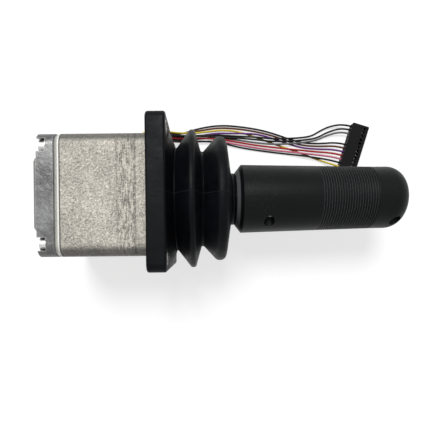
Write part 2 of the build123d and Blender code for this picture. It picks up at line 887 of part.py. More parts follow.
# Leads. Each has its slot in the grommet (column, row), its way in the connector, and the points of
# its free stretch: x, y, and how many leads lie under it.
lay = 1.35
leads = {
    "wire_black_1": (3, 0, 5, [(13.5, 48.3, 0), (24, 51.9, 0), (39, 54.2, 0), (53, 53, 0), (66, 50.8, 0),
                               (76, 47.9, 0), (86, 44.2, 0), (95, 41.6, 0), (105, 40.9, 0.1)]),
    "wire_brown": (3, 1, 6, [(13.5, 48.1, 1.3), (25, 50.3, 0.4), (39, 52.6, 0), (53, 51.4, 0), (65, 49.3, 0),
                             (76, 46.3, 0), (86, 42.5, 0), (95, 39.9, 0), (105, 39.1, 0.1)]),
    "wire_yellow": (3, 2, 11, [(13.5, 47.9, 2.6), (26, 48.7, 1.1), (40, 51, 0), (52, 49.8, 0), (62, 46.4, 0),
                               (73, 42.1, 0), (84, 38.2, 0), (94, 34.7, 0), (103, 30.9, 0)]),
    "wire_violet": (2, 0, 7, [(13.5, 46.3, 0), (24, 46.9, 0), (37, 48.9, 0), (48, 48.3, 0.5), (57, 48, 1.1),
                              (66, 47.4, 0.4), (76, 44.4, 0), (86, 40.8, 0), (95, 38.2, 0), (104, 37.3, 0.1)]),
    "wire_black_2": (2, 1, 0, [(13.5, 46.3, 1.3), (25, 47.1, 1), (38, 47.3, 0.8), (51, 46.5, 0.2),
                               (63, 45.6, 1), (74, 44.2, 1.1), (85, 44.3, 1.1), (94, 44.8, 0.9),
                               (101, 46.2, 0), (106, 49.2, 0), (112.5, 52.3, 0.5)]),
    "wire_black_3": (2, 2, 1, [(13.5, 46.3, 2.6), (26, 46.3, 1.8), (39, 45.8, 1.2), (52, 45.1, 0.8),
                               (64, 43.8, 1), (75, 42.3, 1.1), (86, 42.6, 1.1), (95, 43.1, 1),
                               (104, 44.6, 0), (111.5, 48.6, 0.3)]),
    "wire_grey": (1, 0, 2, [(13.5, 44.7, 0), (25, 45.1, 0), (39, 45.9, 0), (52, 44, 0), (64, 41.8, 0.5),
                            (75, 40.5, 1.1), (86, 40.8, 1.1), (95, 41.5, 1.3), (103.5, 43, 0.3),
                            (110.5, 46.2, 0.3)]),
    "wire_red": (1, 1, 8, [(13.5, 44.8, 1.3), (25, 45.4, 1), (39, 44.5, 0.9), (52, 42.4, 0.3), (64, 40.3, 0),
                           (74, 38.9, 0.45), (83, 37.5, 1.05), (93, 36.4, 1.05), (103, 35.5, 0.4)]),
    "wire_pink": (0, 0, 9, [(13.5, 43.1, 0), (25, 43.4, 0), (39, 43.5, 0), (52, 40.9, 0), (63, 38.8, 0),
                            (73, 37.2, 0), (82, 36, 0.5), (91, 34.8, 1.05), (101, 33.5, 1.1)]),
    "wire_black_4": (0, 1, 10, [(13.5, 43.2, 1.3), (25, 43.3, 1), (39, 42.5, 0.9), (51, 39.3, 0.2),
                                (63, 37.2, 0), (74, 35.6, 0), (84, 34.3, 0.1), (92, 33.2, 0.7),
                                (101, 31.7, 1.1)]),
}


def lead_points(column, row, way, free):
    """All the points of a lead, from the grommet's face to its way in the connector."""
    x, z = slot_place(column, row)
    lane = lane_start + column * wire_pitch
    bend = lane_bend + lane_spread * column
    face = body_side / 2 + grommet_flange
    end_x, end_out, end_drop = lane_end
    points = [
        (x, face, z),
        (x, lane - bend, z - lane_drop),
        (x + bend, lane, z - corner_drop),
        (end_x, lane + end_out, z - end_drop),
    ]
    for px, py, under in free:
        points.append((px, py, floor_z + wire_radius + under * lay))
    frame = connector_plane()
    place = way_place(way)
    half = connector_width / 2
    middle = connector_height / 2
    for out in (-half - wire_straight, -half + wire_grip):
        corner = frame.from_local_coords(Vector(place, out, middle))
        points.append((corner.X, corner.Y, corner.Z))
    return points


def bend_radii(points):
    """The arc at each inner point: 0.45 of the shorter run over the tangent of half the turn."""
    radii = []
    for a, b, c in zip(points, points[1:], points[2:]):
        into = Vector(*b) - Vector(*a)
        out = Vector(*c) - Vector(*b)
        half_turn = math.radians(into.get_angle(out)) / 2
        radii.append(0.45 * min(into.length, out.length) / math.tan(half_turn))
    return radii


def make_lead(name, points):
    """A lead as a plain tube along its route."""
    radii = bend_radii(points)
    route = FilletPolyline(*points, radius=radii)
    section = axis_plane(points[0], Vector(*points[1]) - Vector(*points[0])) * Circle(wire_radius)
    tube = sweep(section, path=route)
    expected = math.pi * wire_radius**2 * route.length
    least = min(radii)
    print(f"{name}: length {route.length:.1f}, least radius {least:.1f}, volume {tube.volume / expected:.4f}")
    return tube


def write(name, pieces):
    """Write one named sub-part. A list becomes one sub-part of several solids."""
    if isinstance(pieces, list):
        pieces = Compound(children=[Compound(p.solids()) if len(p.solids()) > 1 else p.solid() for p in pieces])
    export_step(pieces, f"parts/{name}.step")


def main():
    os.makedirs("parts", exist_ok=True)
    write("housing", make_housing())
    write("cover_gasket", make_gasket())
    write("rear_cover", make_rear_cover())
    write("cover_screws", make_cover_screws())
    write("boot_flange", make_boot_flange())
    write("flange_sleeves", make_flange_sleeves())
    write("bellows", make_bellows())
    write("gate_plate", make_gate())
    write("gate_screws", make_gate_screws())
    write("pivot_bushes", make_pivot_bushes())
    write("hub_bushes", make_hub_bushes())
    write("yoke", make_yoke())
    write("yoke_pins", make_yoke_pins())
    write("hub", make_hub())
    write("hub_pins", make_hub_pins())
    write("roll_pin", make_roll_pin())
    write("lever_shaft", make_shaft())
    write("side_spring", make_spring((pivot_x, yoke_width + spring_play, 0), (0, 1, 0)))
    write("fore_spring", make_spring((pivot_x, 0, hub_half_height + spring_play), (0, 0, 1)))
    write("magnet_holder", make_magnet_holder())
    write("magnet", make_magnet())
    write("circuit_board", make_board())
    write("board_screws", make_board_screws())
    write("field_sensor", make_sensor())
    write("board_header", make_board_header())
    write("neck_bush", make_neck_bush())
    write("lock_nut", make_lock_nut())
    write("grip_insert", make_grip_insert())
    write("grip_left", make_grip_left())
    write("grip_right", make_grip_right())
    write("grip_screws", make_grip_screws())
    write("grip_cap", make_grip_cap())
    write("cap_screws", make_cap_screws())
    write("lead_grommet", make_grommet())
    write("connector_shell", make_connector())
    write("crimp_terminals", make_terminals([lead[2] for lead in leads.values()]))
    for name, (column, row, way, free) in leads.items():
        write(name, make_lead(name, lead_points(column, row, way, free)))


main()
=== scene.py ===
import json
import math

import bpy
from mathutils import Matrix, Vector


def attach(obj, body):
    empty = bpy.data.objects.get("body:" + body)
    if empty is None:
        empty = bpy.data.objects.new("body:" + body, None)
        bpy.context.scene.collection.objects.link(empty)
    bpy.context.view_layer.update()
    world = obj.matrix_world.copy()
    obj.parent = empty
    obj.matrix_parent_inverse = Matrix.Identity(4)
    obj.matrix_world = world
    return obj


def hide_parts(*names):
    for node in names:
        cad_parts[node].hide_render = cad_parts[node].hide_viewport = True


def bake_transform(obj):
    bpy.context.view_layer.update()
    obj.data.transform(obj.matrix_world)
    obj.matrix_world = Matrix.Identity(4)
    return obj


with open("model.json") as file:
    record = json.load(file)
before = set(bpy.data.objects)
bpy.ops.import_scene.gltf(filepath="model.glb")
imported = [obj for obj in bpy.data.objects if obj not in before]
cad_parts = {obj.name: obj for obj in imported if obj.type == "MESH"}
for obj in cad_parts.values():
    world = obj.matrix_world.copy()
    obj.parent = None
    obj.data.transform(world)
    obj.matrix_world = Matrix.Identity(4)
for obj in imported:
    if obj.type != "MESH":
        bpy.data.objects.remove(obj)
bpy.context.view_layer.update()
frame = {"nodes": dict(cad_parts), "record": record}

MM = 0.001
nodes = frame["nodes"]


# Shader building

NOISE_BAND = (0.3, 0.7)  # where most values of a noise lie
EDGE_BAND = (0.72, 0.99)  # cosine between the rounded and the true normal, at an edge and away from it
EDGE_SAMPLES = 6


class Finish:
    """A material made of nodes, laid out in the object's own space."""

    def __init__(self, name, colour, roughness, metallic=0.0):
        self.material = bpy.data.materials.new(name)
        self.material.use_nodes = True
        self.tree = self.material.node_tree
        self.shader = self.tree.nodes["Principled BSDF"]
        self.shader.inputs["Base Color"].default_value = (*colour, 1)
        self.shader.inputs["Roughness"].default_value = roughness
        self.shader.inputs["Metallic"].default_value = metallic
        self.place = self.add("ShaderNodeTexCoord").outputs["Object"]

    def add(self, kind, **settings):
        """A node with these settings."""
        node = self.tree.nodes.new(kind)
        for name, value in settings.items():
            setattr(node, name, value)
        return node

    def join(self, source, target):
        """Link one socket to another."""
        self.tree.links.new(source, target)

    def noise(self, scale, detail=3.0, roughness=0.55, stretch=None):
        """Noise over the object, from 0 to 1. Scale is in features per metre."""
        node = self.add("ShaderNodeTexNoise")
        node.inputs["Scale"].default_value = scale
        node.inputs["Detail"].default_value = detail
        node.inputs["Roughness"].default_value = roughness
        place = self.place
        if stretch:
            mapping = self.add("ShaderNodeMapping")
            mapping.inputs["Scale"].default_value = stretch
            self.join(place, mapping.inputs["Vector"])
            place = mapping.outputs["Vector"]
        self.join(place, node.inputs["Vector"])
        return node.outputs["Fac"]

    def ramp(self, source, stops):
        """Colours along a value: stops of (position, colour)."""
        node = self.add("ShaderNodeValToRGB")
        band = node.color_ramp
        while len(band.elements) < len(stops):
            band.elements.new(0.5)
        for element, (position, colour) in zip(band.elements, stops):
            element.position = position
            element.color = (*colour, 1)
        self.join(source, node.inputs["Fac"])
        return node.outputs["Color"]

    def spread(self, source, low, high, start=0.0, end=1.0):
        """A value rescaled from start..end to low..high."""
        node = self.add("ShaderNodeMapRange")
        node.inputs["From Min"].default_value = start
        node.inputs["From Max"].default_value = end
        node.inputs["To Min"].default_value = low
        node.inputs["To Max"].default_value = high
        self.join(source, node.inputs["Value"])
        return node.outputs["Result"]

    def math(self, operation, a, b):
        """Two values joined by an operation."""
        node = self.add("ShaderNodeMath", operation=operation)
        for socket, value in zip(node.inputs, (a, b)):
            if isinstance(value, (int, float)):
                socket.default_value = value
            else:
                self.join(value, socket)
        return node.outputs["Value"]

    def blend(self, factor, a, b):
        """Two colours blended."""
        node = self.add("ShaderNodeMix", data_type="RGBA")
        for name, value in (("Factor", factor), ("A", a), ("B", b)):
            socket = [s for s in node.inputs if s.name == name and s.enabled][0]
            if isinstance(value, (int, float)):
                socket.default_value = value
            elif isinstance(value, tuple):
                socket.default_value = (*value, 1)
            else:
                self.join(value, socket)
        return [s for s in node.outputs if s.enabled][0]

    def axis(self, letter):
        """How far along X, Y or Z a point lies, in metres."""
        node = self.add("ShaderNodeSeparateXYZ")
        self.join(self.place, node.inputs["Vector"])
        return node.outputs[letter]

    def within(self, value, start, end, soft):
        """1 between start and end, falling to 0 over a soft edge."""
        rise = self.spread(value, 0, 1, start - soft, start)
        fall = self.spread(value, 1, 0, end, end + soft)
        return self.math("MULTIPLY", rise, fall)

    def edges(self, radius):
        """How near a point lies to a sharp edge, from 0 to 1."""
        bevel = self.add("ShaderNodeBevel", samples=EDGE_SAMPLES)
        bevel.inputs["Radius"].default_value = radius
        dot = self.add("ShaderNodeVectorMath", operation="DOT_PRODUCT")
        self.join(bevel.outputs["Normal"], dot.inputs[0])
        self.join(self.add("ShaderNodeNewGeometry").outputs["Normal"], dot.inputs[1])
        return self.spread(dot.outputs["Value"], 1, 0, *EDGE_BAND)

    def gloss(self, level):
        """How strongly the surface mirrors at right angles, where 0.5 is usual."""
        self.shader.inputs["Specular IOR Level"].default_value = level

    def colour(self, source):
        """Drive the base colour."""
        self.join(source, self.shader.inputs["Base Color"])

    def rough(self, source):
        """Drive the roughness."""
        self.join(source, self.shader.inputs["Roughness"])

    def bump(self, height, distance):
        """Raise the surface by height times distance, in metres."""
        node = self.add("ShaderNodeBump")
        node.inputs["Distance"].default_value = distance
        self.join(height, node.inputs["Height"])
        last = self.shader.inputs["Normal"].links
        if last:
            self.join(last[0].from_socket, node.inputs["Normal"])
        self.join(node.outputs["Normal"], self.shader.inputs["Normal"])


def shade(colour, factor):
    """A lighter or darker tone of a colour."""
    return tuple(min(1, c * factor) for c in colour)


# Where marks lie on the cast and moulded pieces, in metres along the lever's axis. The corners and the seam
# are measured across it, and the rib's line in parts of a pitch. A mark's EDGE is the width over which it
# fades out.

FLOW_MARK = (-0.0138, -0.0066)
FLOW_MARK_EDGE = 0.0012
CASE_RIM = (-0.0426, -0.0422)
CASE_GROOVE = (-0.0423, -0.0419)
CASE_GROOVE_EDGE = 0.0002
CASE_CORNER = (0.0248, 0.0272)
COVER_SEAT = (-0.0448, -0.0443)
COVER_HIGHLIGHT_RADIUS = 0.0007  # how near to an edge the cover carries a painted highlight
MOULD_SEAM = (-0.0001, 0.0002)
MOULD_SEAM_EDGE = 0.0001
RIB_START = 0.0897
RIB_END = 0.1190
RIB_EDGE = 0.0002
RIB_PITCH = 0.00134
RIB_LINE = (0.02, 0.16)
RIB_LINE_EDGE = 0.08
GRIP_PATCH = (0.0505, 0.0635)
GRIP_PATCH_EDGE = 0.004
GRIP_FOOT = (0.0440, 0.0464)
GRIP_FOOT_EDGE = 0.0004


def cast_body(name):
    """As-cast alloy: granular, with a rough flow mark before the flange, painted shade on the round corners
    and a painted highlight along the rim.
    """
    light = (0.43, 0.405, 0.355)
    painted_corner_shade = (0.06, 0.058, 0.053)
    painted_rim_highlight = (0.74, 0.73, 0.69)
    shadow = (0.06, 0.06, 0.055)
    finish = Finish(name, light, 0.5, 0.3)
    x = finish.axis("X")
    flow = finish.within(x, *FLOW_MARK, FLOW_MARK_EDGE)
    rim = finish.spread(x, 1, 0, *CASE_RIM)
    groove = finish.within(x, *CASE_GROOVE, CASE_GROOVE_EDGE)
    fine = finish.noise(1500, 4, 0.75)
    pits = finish.noise(760, 3, 0.7)
    grain = finish.math("ADD", finish.math("MULTIPLY", fine, 0.6), finish.math("MULTIPLY", pits, 0.4))
    streaks = finish.noise(1300, 3, 0.7, (1, 0.12, 0.12))
    grain = finish.blend(finish.math("MULTIPLY", flow, 0.4), grain, streaks)
    gain = finish.math("ADD", finish.math("MULTIPLY", flow, 1.6), 1.7)
    lifted = finish.math("MULTIPLY", finish.math("SUBTRACT", grain, 0.5), gain)
    tone = finish.math("ADD", lifted, finish.spread(finish.noise(75, 4), 0.43, 0.56, *NOISE_BAND))
    tone = finish.math("ADD", tone, finish.math("MULTIPLY", flow, 0.05))
    stops = ((0.34, 0.42), (0.47, 0.9), (0.56, 1.08), (0.68, 1.7))
    skin = finish.ramp(tone, [(position, shade(light, factor)) for position, factor in stops])
    across = finish.spread(finish.math("ABSOLUTE", finish.axis("Y"), 0), 0, 1, *CASE_CORNER)
    height = finish.spread(finish.math("ABSOLUTE", finish.axis("Z"), 0), 0, 1, *CASE_CORNER)
    corner = finish.math("MULTIPLY", across, height)
    # Painted shade: the case's round corners are darkened.
    skin = finish.blend(finish.math("MULTIPLY", corner, 0.78), skin, painted_corner_shade)
    # Painted highlight: the case's rim next to the cover is painted near white.
    skin = finish.blend(rim, skin, painted_rim_highlight)
    finish.colour(finish.blend(groove, skin, shadow))
    finish.rough(finish.spread(fine, 0.42, 0.66, *NOISE_BAND))
    finish.bump(grain, 0.0004)
    finish.bump(finish.math("MULTIPLY", finish.noise(520, 4, 0.7), flow), 0.0014)
    return finish.material


def cast_cover(name):
    """Smoother die-cast alloy, darker, with painted highlights along its edges and on its seat."""
    light = (0.15, 0.153, 0.15)
    painted_edge_highlight = (0.74, 0.74, 0.72)
    painted_seat_highlight = (0.74, 0.74, 0.70)
    finish = Finish(name, light, 0.36, 0.55)
    broad = finish.noise(60, 4)
    fine = finish.noise(1100, 3, 0.6)
    tone = finish.math("ADD", finish.math("MULTIPLY", broad, 0.65), finish.math("MULTIPLY", fine, 0.35))
    skin = finish.ramp(tone, [(0.36, shade(light, 0.5)), (0.5, light), (0.64, shade(light, 1.5))])
    # Painted highlight along the cover's edges.
    skin = finish.blend(finish.math("MULTIPLY", finish.edges(COVER_HIGHLIGHT_RADIUS), 0.75), skin, painted_edge_highlight)
    # Painted highlight on the cover's seat next to the case.
    seat = finish.spread(finish.axis("X"), 0, 1, *COVER_SEAT)
    finish.colour(finish.blend(seat, skin, painted_seat_highlight))
    finish.rough(finish.spread(broad, 0.28, 0.46, *NOISE_BAND))
    finish.bump(fine, 0.00008)
    finish.bump(finish.noise(230, 3), 0.0002)
    return finish.material


def seam_tone(colour):
    """The tone of a line where the mould's halves met."""
    return tuple(c * 6 + 0.012 for c in colour)


def moulded_rubber(name, colour, roughness, level):
    """Black rubber with a faint bloom, a fine skin, pale specks and the line of the mould's seam."""
    finish = Finish(name, colour, roughness)
    finish.gloss(level)
    bloom = finish.noise(60, 5, 0.6)
    skin = finish.ramp(bloom, [(0.35, colour), (0.75, tuple(c * 2.4 + 0.001 for c in colour))])
    specks = finish.spread(finish.noise(2200, 2), 0, 0.5, 0.62, 0.74)
    skin = finish.blend(specks, skin, tuple(c * 5 + 0.004 for c in colour))
    seam = finish.within(finish.axis("Y"), *MOULD_SEAM, MOULD_SEAM_EDGE)
    finish.colour(finish.blend(finish.math("MULTIPLY", seam, 0.5), skin, seam_tone(colour)))
    finish.bump(seam, 0.00025)
    finish.rough(finish.spread(finish.noise(180, 4), roughness - 0.08, roughness + 0.12, *NOISE_BAND))
    finish.bump(finish.noise(1500, 3), 0.00006)
    finish.bump(finish.noise(120, 3), 0.00018)
    return finish.material


def grained_plastic(name, colour, roughness, level=0.5):
    """Black moulded plastic with a spark-eroded grain, a little smoothed by use."""
    finish = Finish(name, colour, roughness)
    finish.gloss(level)
    wear = finish.noise(45, 4)
    finish.colour(finish.ramp(wear, [(0.3, colour), (0.8, tuple(c * 1.8 + 0.001 for c in colour))]))
    finish.rough(finish.spread(wear, roughness + 0.08, roughness - 0.08, *NOISE_BAND))
    finish.bump(finish.noise(2600, 2), 0.00005)
    return finish.material


def grip_plastic(name):
    """Satin black grip: spark-eroded grain, smoothed by use in places, with glossier rib edges that carry a
    painted glint, and a painted highlight at its foot.
    """
    colour = (0.0026, 0.0034, 0.0034)
    speck = (0.022, 0.027, 0.027)
    painted_rib_glint = (0.07, 0.078, 0.08)
    painted_foot_highlight = (0.10, 0.105, 0.11)
    finish = Finish(name, colour, 0.4)
    finish.gloss(0.1)
    x = finish.axis("X")
    wear = finish.noise(38, 4)
    grain = finish.noise(1900, 3, 0.65)
    skin = finish.ramp(wear, [(0.3, colour), (0.75, shade(colour, 1.9))])
    patch = finish.within(x, *GRIP_PATCH, GRIP_PATCH_EDGE)
    specks = finish.spread(grain, 0, 0.8, 0.55, 0.68)
    specks = finish.math("MULTIPLY", specks, finish.spread(patch, 0.25, 1))
    skin = finish.blend(specks, skin, speck)
    ribs = finish.within(x, RIB_START, RIB_END, RIB_EDGE)
    place = finish.math("FRACT", finish.math("DIVIDE", finish.math("SUBTRACT", x, RIB_START), RIB_PITCH), 0)
    line = finish.math("MULTIPLY", finish.within(place, *RIB_LINE, RIB_LINE_EDGE), ribs)
    # Painted glint: the rib lines are lightened in colour; their lower roughness stands for real polish.
    skin = finish.blend(finish.math("MULTIPLY", line, 0.9), skin, painted_rib_glint)
    foot = finish.within(x, *GRIP_FOOT, GRIP_FOOT_EDGE)
    # Painted highlight: a light band round the grip's foot.
    finish.colour(finish.blend(foot, skin, painted_foot_highlight))
    rough = finish.spread(wear, 0.46, 0.34, *NOISE_BAND)
    finish.rough(finish.math("SUBTRACT", rough, finish.math("MULTIPLY", line, 0.14)))
    finish.bump(grain, 0.00007)
    return finish.material


def ground_metal(name, colour, roughness):
    """Turned or ground metal with fine lines round it."""
    finish = Finish(name, colour, roughness, 1.0)
    lines = finish.noise(400, 4, 0.6, (1, 30, 30))
    finish.rough(finish.spread(lines, roughness - 0.1, roughness + 0.14, *NOISE_BAND))
    finish.colour(finish.ramp(lines, [(0.3, tuple(c * 0.82 for c in colour)), (0.7, colour)]))
    finish.bump(lines, 0.00002)
    return finish.material


def plated_metal(name, colour, roughness):
    """Plated fastener with small dull spots."""
    finish = Finish(name, colour, roughness, 1.0)
    spots = finish.noise(700, 4)
    finish.colour(finish.ramp(spots, [(0.35, tuple(c * 0.7 for c in colour)), (0.6, colour)]))
    finish.rough(finish.spread(spots, roughness + 0.15, roughness - 0.05, 0.35, 0.7))
    return finish.material


def insulation(name, colour):
    """Extruded lead insulation."""
    finish = Finish(name, colour, 0.42)
    finish.gloss(0.2)
    streaks = finish.noise(900, 3)
    finish.colour(finish.ramp(streaks, [(0.3, tuple(c * 0.8 for c in colour)), (0.7, colour)]))
    finish.bump(finish.noise(2500, 2), 0.00002)
    return finish.material


def make_finishes():
    """Every material, by the record's slot name."""
    return {
        "cast_body": cast_body("cast_body"),
        "cast_cover": cast_cover("cast_cover"),
        "gasket": moulded_rubber("gasket", (0.012, 0.012, 0.012), 0.8, 0.2),
        "zinc_steel": plated_metal("zinc_steel", (0.62, 0.62, 0.60), 0.3),
        "boot_rubber": moulded_rubber("boot_rubber", (0.0012, 0.0015, 0.0021), 0.42, 0.08),
        "plain_steel": ground_metal("plain_steel", (0.56, 0.56, 0.56), 0.28),
        "plain_alloy": ground_metal("plain_alloy", (0.62, 0.62, 0.63), 0.36),
        "bronze": plated_metal("bronze", (0.50, 0.33, 0.15), 0.4),
        "spring_steel": plated_metal("spring_steel", (0.32, 0.32, 0.33), 0.3),
        "inner_plastic": grained_plastic("inner_plastic", (0.02, 0.02, 0.022), 0.5),
        "magnet_nickel": plated_metal("magnet_nickel", (0.66, 0.64, 0.58), 0.18),
        "board_green": insulation("board_green", (0.015, 0.12, 0.05)),
        "chip_black": grained_plastic("chip_black", (0.015, 0.015, 0.015), 0.55),
        "insert_brass": ground_metal("insert_brass", (0.72, 0.50, 0.20), 0.3),
        "grip_plastic": grip_plastic("grip_plastic"),
        "dark_steel": plated_metal("dark_steel", (0.10, 0.10, 0.10), 0.35),
        "connector_plastic": grained_plastic("connector_plastic", (0.003, 0.003, 0.0036), 0.4, 0.1),
        "tin_plate": plated_metal("tin_plate", (0.75, 0.74, 0.70), 0.2),
        "lead_black": insulation("lead_black", (0.0025, 0.0025, 0.003)),
        "lead_brown": insulation("lead_brown", (0.12, 0.035, 0.015)),
        "lead_yellow": insulation("lead_yellow", (0.75, 0.58, 0.05)),
        "lead_violet": insulation("lead_violet", (0.16, 0.03, 0.24)),
        "lead_grey": insulation("lead_grey", (0.16, 0.16, 0.17)),
        "lead_red": insulation("lead_red", (0.45, 0.02, 0.02)),
        "lead_pink": insulation("lead_pink", (0.70, 0.18, 0.28)),
    }


finishes = make_finishes()
slot_of = {s["node"]: s["material_slot"] for s in frame["record"]["subparts"]}


def dress(piece, slot):
    """Give a piece the finish of the slot that it stands for."""
    piece.data.materials.clear()
    piece.data.materials.append(finishes[slot])


for name, node in nodes.items():
    dress(node, slot_of[name])


# Mesh building

def mesh_piece(name, points, faces, smooth=True):
    """A mesh object from points and faces, in metres."""
    mesh = bpy.data.meshes.new(name)
    mesh.from_pydata(points, [], faces)
    mesh.update()
    mesh.polygons.foreach_set("use_smooth", [smooth] * len(mesh.polygons))
    piece = bpy.data.objects.new(name, mesh)
    bpy.context.scene.collection.objects.link(piece)
    return piece


def rounded(outline, radii, steps):
    """An outline of (x, r) points in millimetres with its inner corners rounded."""
    points = [Vector(outline[0])]
    for before, corner, after, radius in zip(outline, outline[1:], outline[2:], radii):
        before, corner, after = Vector(before), Vector(corner), Vector(after)
        back = (before - corner).normalized()
        on = (after - corner).normalized()
        half = math.acos(max(-1, min(1, back.dot(on)))) / 2
        reach = radius / math.tan(half)
        centre = corner + (back + on).normalized() * radius / math.sin(half)
        first = corner + back * reach - centre
        last = corner + on * reach - centre
        sweep = math.pi - 2 * half
        side = 1 if first.x * last.y - first.y * last.x > 0 else -1
        for step in range(steps + 1):
            turn = side * sweep * step / steps
            points.append(centre + Matrix.Rotation(turn, 2) @ first)
    points.append(Vector(outline[-1]))
    return points


def lathe(name, ring, turns):
    """Turn a closed ring of (x, r) points in millimetres about the lever's axis."""
    points = []
    for column in range(turns):
        angle = 2 * math.pi * column / turns
        for x, r in ring:
            points.append((x * MM, r * math.cos(angle) * MM, r * math.sin(angle) * MM))
    count = len(ring)
    faces = []
    for column in range(turns):
        a = column * count
        b = ((column + 1) % turns) * count
        for i in range(count):
            j = (i + 1) % count
            faces.append((a + i, a + j, b + j, b + i))
    return mesh_piece(name, points, faces)


# Bellows: two rings of one moulding, split at the waist

BELLOWS_OUTLINE = [(12.0, 28.5), (13.2, 28.6), (20.4, 38.0), (22.8, 38.0), (26.4, 25.3), (34.6, 34.2),
                   (39.1, 34.2), (42.4, 14.5), (44.7, 14.3)]
BELLOWS_RADII = [1.0, 1.5, 1.5, 1.0, 2.9, 2.9, 1.0]
BELLOWS_STEPS = 7
BELLOWS_WALL = 1.7
BELLOWS_TURNS = 144
WAIST = (24, 29)


def inner_wall(points, wall):
    """The points moved in by a wall's thickness, square to their line."""
    moved = []
    for i, point in enumerate(points):
        before = points[max(0, i - 1)]
        after = points[min(len(points) - 1, i + 1)]
        along = (after - before).normalized()
        moved.append(point + Vector((along.y, -along.x)) * wall)
    return moved


def make_bellows():
    """The bellows as a lower and an upper ring, split at the waist."""
    outer = rounded(BELLOWS_OUTLINE, BELLOWS_RADII, BELLOWS_STEPS)
    inner = inner_wall(outer, BELLOWS_WALL)
    waist = [i for i, point in enumerate(outer) if WAIST[0] < point.x < WAIST[1]]
    split = min(waist, key=lambda i: outer[i].y)
    lower = lathe("bellows_lower", outer[: split + 1] + inner[: split + 1][::-1], BELLOWS_TURNS)
    upper = lathe("bellows_upper", outer[split:] + inner[split:][::-1], BELLOWS_TURNS)
    dress(lower, "boot_rubber")
    dress(upper, "boot_rubber")
    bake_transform(lower)
    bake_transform(upper)
    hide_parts("bellows")
    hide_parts("bellows")


make_bellows()


# Leads. Each has its slot in the grommet (column, row), its way in the connector, and the points of
# its free stretch: x and y in millimetres, and how many leads lie under it.

LEADS = {
    "wire_black_1": (3, 0, 5, [(13.5, 48.3, 0), (24, 51.9, 0), (39, 54.2, 0), (53, 53, 0), (66, 50.8, 0),
                               (76, 47.9, 0), (86, 44.2, 0), (95, 41.6, 0), (105, 40.9, 0.1)]),
    "wire_brown": (3, 1, 6, [(13.5, 48.1, 1.3), (25, 50.3, 0.4), (39, 52.6, 0), (53, 51.4, 0),
                             (65, 49.3, 0), (76, 46.3, 0), (86, 42.5, 0), (95, 39.9, 0), (105, 39.1, 0.1)]),
    "wire_yellow": (3, 2, 11, [(13.5, 47.9, 2.6), (26, 48.7, 1.1), (40, 51, 0), (52, 49.8, 0),
                               (62, 46.4, 0), (73, 42.1, 0), (84, 38.2, 0), (94, 34.7, 0), (103, 30.9, 0)]),
    "wire_violet": (2, 0, 7, [(13.5, 46.3, 0), (24, 46.9, 0), (37, 48.9, 0), (48, 48.3, 0.5), (57, 48, 1.1),
                              (66, 47.4, 0.4), (76, 44.4, 0), (86, 40.8, 0), (95, 38.2, 0),
                              (104, 37.3, 0.1)]),
    "wire_black_2": (2, 1, 0, [(13.5, 46.3, 1.3), (25, 47.1, 1), (38, 47.3, 0.8), (51, 46.5, 0.2),
                               (63, 45.6, 1), (74, 44.2, 1.1), (85, 44.3, 1.1), (94, 44.8, 0.9),
                               (101, 46.2, 0), (106, 49.2, 0), (112.5, 52.3, 0.5)]),
    "wire_black_3": (2, 2, 1, [(13.5, 46.3, 2.6), (26, 46.3, 1.8), (39, 45.8, 1.2), (52, 45.1, 0.8),
                               (64, 43.8, 1), (75, 42.3, 1.1), (86, 42.6, 1.1), (95, 43.1, 1),
                               (104, 44.6, 0), (111.5, 48.6, 0.3)]),
    "wire_grey": (1, 0, 2, [(13.5, 44.7, 0), (25, 45.1, 0), (39, 45.9, 0), (52, 44, 0), (64, 41.8, 0.5),
                            (75, 40.5, 1.1), (86, 40.8, 1.1), (95, 41.5, 1.3), (103.5, 43, 0.3),
                            (110.5, 46.2, 0.3)]),
    "wire_red": (1, 1, 8, [(13.5, 44.8, 1.3), (25, 45.4, 1), (39, 44.5, 0.9), (52, 42.4, 0.3),
                           (64, 40.3, 0), (74, 38.9, 0.45), (83, 37.5, 1.05), (93, 36.4, 1.05),
                           (103, 35.5, 0.4)]),
    "wire_pink": (0, 0, 9, [(13.5, 43.1, 0), (25, 43.4, 0), (39, 43.5, 0), (52, 40.9, 0), (63, 38.8, 0),
                            (73, 37.2, 0), (82, 36, 0.5), (91, 34.8, 1.05), (101, 33.5, 1.1)]),
    "wire_black_4": (0, 1, 10, [(13.5, 43.2, 1.3), (25, 43.3, 1), (39, 42.5, 0.9), (51, 39.3, 0.2),
                                (63, 37.2, 0), (74, 35.6, 0), (84, 34.3, 0.1), (92, 33.2, 0.7),
                                (101, 31.7, 1.1)]),
}
LEAD_RADIUS = 0.6
LEAD_PITCH = 1.7
LEAD_LAY = 1.35
LEAD_STEPS = 10
LEAD_FACETS = 3
LEAD_ORDER = 3

# From the grommet a lead runs out to its lane, turns there, and drops as it passes the skirt's side

LANE_START = 41.6
LANE_BEND = 5.6
LANE_BEND_STEP = 0.7
LANE_TURN = 3.0
LANE_DROPS = (0.2, 2.2, 9.5)
SKIRT_PASS = (3.5, 0.2)
MIDDLE_COLUMN = 1.5
MIDDLE_ROW = 1

FLOOR = -38.0
GROMMET = Vector((-12.5, 32.7, -18.0))
WAY_PITCH = 2.54
CONNECTOR_TOP = Vector((132.5, 52.0, FLOOR))
CONNECTOR_LEAN = math.radians(18.0)
CONNECTOR_END_WALL = 0.7
CONNECTOR_HALF_WIDTH = 5.5
CONNECTOR_MIDDLE = 2.5
LEAD_STRAIGHT = 5.0
LEAD_GRIP = 1.0


